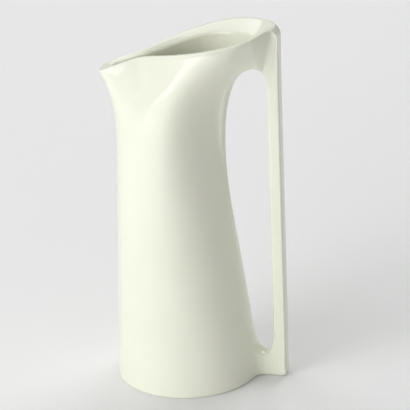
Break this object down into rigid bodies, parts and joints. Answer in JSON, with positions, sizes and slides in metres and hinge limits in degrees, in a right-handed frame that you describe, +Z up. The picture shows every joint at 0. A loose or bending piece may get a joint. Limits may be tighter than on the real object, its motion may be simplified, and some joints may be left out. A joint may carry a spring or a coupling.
{
  "type": "porcelain jug",
  "caption": "Tall glazed porcelain jug whose rim rises from a beak spout and runs into a slim upright strap handle.",
  "frame": {"origin": "on the floor, at the middle of the overall length and width", "axes": "+Z up, +X towards the handle, the spout at -X, the plane of symmetry is y = 0"},
  "size_m": [0.1179, 0.0948, 0.2439],
  "materials": {
    "glaze": "clear high-gloss glaze over pale green-cream porcelain",
    "slip": "fired casting slip, under the glaze"
  },
  "bodies": {
    "root": {"body": "glaze", "handle": "glaze", "upper_slip_joint": "slip", "lower_slip_joint": "slip"}
  },
  "joints": []
}
